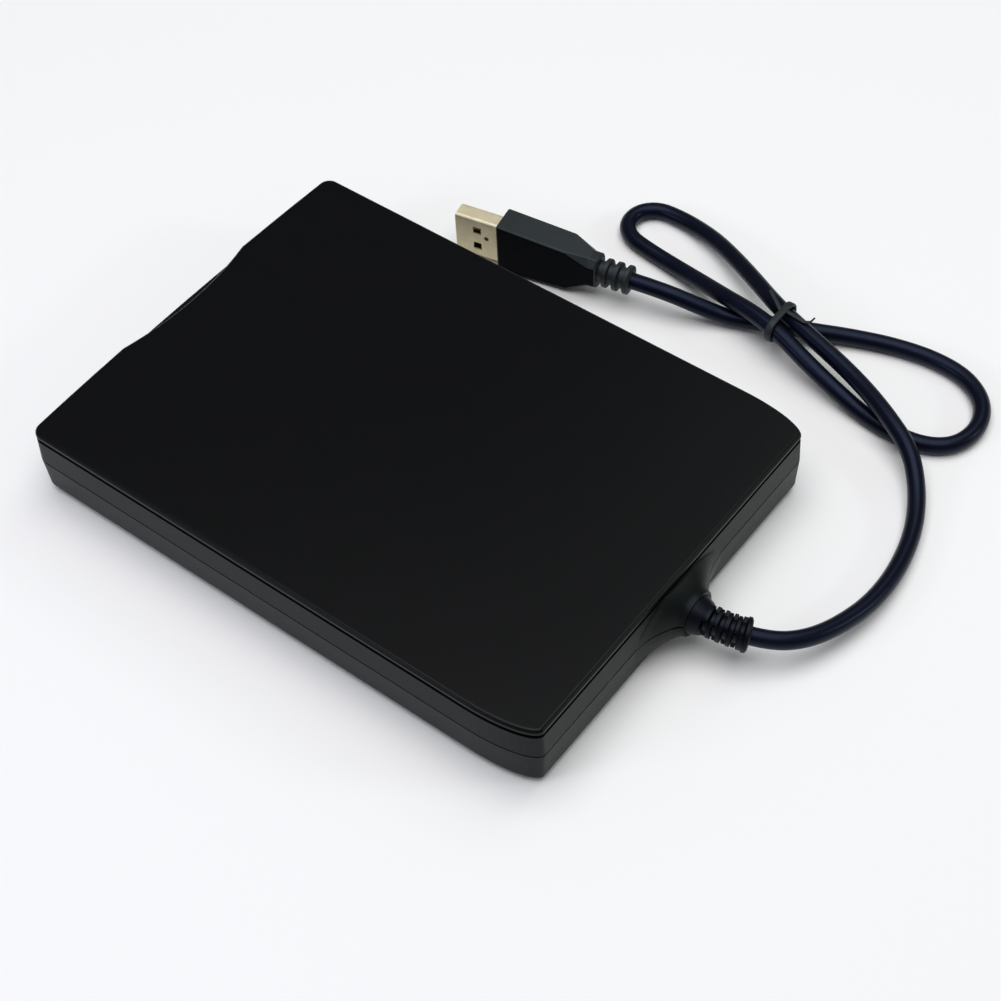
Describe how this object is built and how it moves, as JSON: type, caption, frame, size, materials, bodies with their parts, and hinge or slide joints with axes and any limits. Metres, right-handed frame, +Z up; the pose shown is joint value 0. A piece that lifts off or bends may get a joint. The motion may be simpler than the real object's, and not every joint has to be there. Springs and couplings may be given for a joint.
{
  "type": "external floppy disk drive",
  "caption": "Slim external 3.5 inch floppy disk drive: two-part black housing, slot with door and eject button, working mechanism inside, captive USB lead with plug.",
  "frame": {"origin": "on the surface the feet stand on, under the middle of the housing with its button and cable boss", "axes": "+Z up; the disk slot, door and eject button face -Y; the lead leaves towards +Y"},
  "size_m": [0.1577, 0.1785, 0.0195],
  "materials": {
    "housing_plastic": "fine moulded texture, black",
    "panel_plastic": "satin black",
    "front_plastic": "fine moulded texture, black",
    "door_plastic": "satin black",
    "button_plastic": "satin black",
    "lens_plastic": "tinted, translucent",
    "led_epoxy": "clear tinted epoxy",
    "foot_rubber": "matt",
    "relief_rubber": "soft satin",
    "cord_jacket": "satin PVC, blue-black",
    "tie_plastic": "satin",
    "grip_pvc": "soft satin PVC",
    "usb_nickel": "nickel-plated, satin",
    "usb_insulator": "white moulded",
    "contact_gold": "gilt",
    "zinc_steel": "zinc-plated sheet",
    "screw_steel": "black zinc",
    "spring_steel": "drawn wire",
    "stainless": "ground",
    "magnet_ferrite": "bonded ferrite",
    "coil_copper": "enamelled copper windings",
    "bearing_bronze": "sintered bronze",
    "carriage_plastic": "glass-filled, dark grey",
    "lever_plastic": "acetal, off-white",
    "head_ceramic": "polished ceramic",
    "board_green": "solder mask",
    "chip_black": "moulded package",
    "ribbon_white": "flat flex film",
    "socket_ivory": "moulded nylon",
    "wire_jacket": "PVC insulation"
  },
  "bodies": {
    "housing_body": {"lower_shell": "housing_plastic", "upper_shell": "housing_plastic", "top_panel": "panel_plastic", "front_bezel": "front_plastic", "door_spring": "spring_steel", "led_lens": "lens_plastic", "status_led": "led_epoxy", "rubber_feet": "foot_rubber", "case_screws": "screw_steel", "strain_relief": "relief_rubber", "cable": "cord_jacket", "cable_tie": "tie_plastic", "plug_overmould": "grip_pvc", "plug_shell": "usb_nickel", "plug_tongue": "usb_insulator", "plug_contacts": "contact_gold", "drive_chassis": "zinc_steel", "chassis_screws": "screw_steel", "slider_springs": "spring_steel", "spindle_board": "board_green", "stator_coils": "coil_copper", "spindle_bearing": "bearing_bronze", "guide_rod": "stainless", "rod_clamps": "zinc_steel", "screw_bearing": "carriage_plastic", "stepper_motor": "zinc_steel", "main_board": "board_green", "board_chips": "chip_black", "usb_board": "board_green", "usb_chips": "chip_black", "ribbon_cable": "ribbon_white", "ribbon_connectors": "socket_ivory", "wire_connector": "socket_ivory", "internal_wires": "wire_jacket", "sense_switches": "chip_black", "track_zero_sensor": "chip_black"},
    "slider_body": {"eject_slider": "zinc_steel", "eject_button": "button_plastic"},
    "door_body": {"slot_door": "door_plastic"},
    "holder_body": {"disk_holder": "zinc_steel", "holder_pins": "stainless", "lever_pivot_pin": "stainless", "lever_spring": "spring_steel"},
    "lever_body": {"shutter_lever": "lever_plastic"},
    "spindle_body": {"spindle_rotor": "zinc_steel", "rotor_magnet": "magnet_ferrite", "spindle_hub": "stainless", "spindle_shaft": "stainless", "drive_pin": "stainless"},
    "carriage_body": {"head_carriage": "carriage_plastic", "lower_head": "head_ceramic"},
    "arm_body": {"upper_head_arm": "stainless", "upper_head": "head_ceramic"},
    "screw_body": {"lead_screw": "stainless"},
    "write_protect_body": {"write_protect_plunger": "lever_plastic"},
    "density_body": {"density_plunger": "lever_plastic"},
    "disk_in_body": {"disk_in_plunger": "lever_plastic"}
  },
  "joints": [
    {"name": "eject_slide", "type": "slide", "parent": "housing_body", "child": "slider_body", "axis": [0, -1, 0], "range_m": [0, 0.005], "deforming": ["slider_springs"]},
    {"name": "holder_drop", "type": "slide", "parent": "housing_body", "child": "holder_body", "axis": [0, 0, -1], "range_m": [0, 0.002]},
    {"name": "door_swing", "type": "hinge", "parent": "housing_body", "child": "door_body", "pos_m": [0, -0.0657, 0.0154], "axis": [1, 0, 0], "range_deg": [0, 88], "stiffness_Nm_per_rad": 0.0005, "springref_deg": -17.19, "deforming": ["door_spring"]},
    {"name": "spindle_spin", "type": "hinge", "parent": "housing_body", "child": "spindle_body", "pos_m": [0, -0.016, 0.006], "axis": [0, 0, 1], "continuous": true},
    {"name": "carriage_slide", "type": "slide", "parent": "housing_body", "child": "carriage_body", "axis": [0, -1, 0], "range_m": [0, 0.0148]},
    {"name": "arm_lower", "type": "hinge", "parent": "carriage_body", "child": "arm_body", "pos_m": [0, 0.049, 0.0128], "axis": [1, 0, 0], "range_deg": [0, 8.8]},
    {"name": "lead_screw_turn", "type": "hinge", "parent": "housing_body", "child": "screw_body", "pos_m": [0.014, 0.035, 0.007], "axis": [0, 1, 0], "continuous": true},
    {"name": "shutter_lever_swing", "type": "hinge", "parent": "holder_body", "child": "lever_body", "pos_m": [-0.038, 0.036, 0.0165], "axis": [0, 0, 1], "range_deg": [0, 63], "stiffness_Nm_per_rad": 0.001, "springref_deg": -17.19, "deforming": ["lever_spring"]},
    {"name": "write_protect_press", "type": "slide", "parent": "housing_body", "child": "write_protect_body", "axis": [0, 0, -1], "range_m": [0, 0.001], "stiffness_N_per_m": 100},
    {"name": "density_press", "type": "slide", "parent": "housing_body", "child": "density_body", "axis": [0, 0, -1], "range_m": [0, 0.001], "stiffness_N_per_m": 100},
    {"name": "disk_in_press", "type": "slide", "parent": "housing_body", "child": "disk_in_body", "axis": [0, 0, -1], "range_m": [0, 0.001], "stiffness_N_per_m": 100}
  ],
  "couplings": [
    {"joint": "holder_drop", "follows": "eject_slide", "ratio": 0.4},
    {"joint": "arm_lower", "follows": "eject_slide", "rad_per_m": 30.718},
    {"joint": "lead_screw_turn", "follows": "carriage_slide", "rad_per_m": 2094.4}
  ]
}
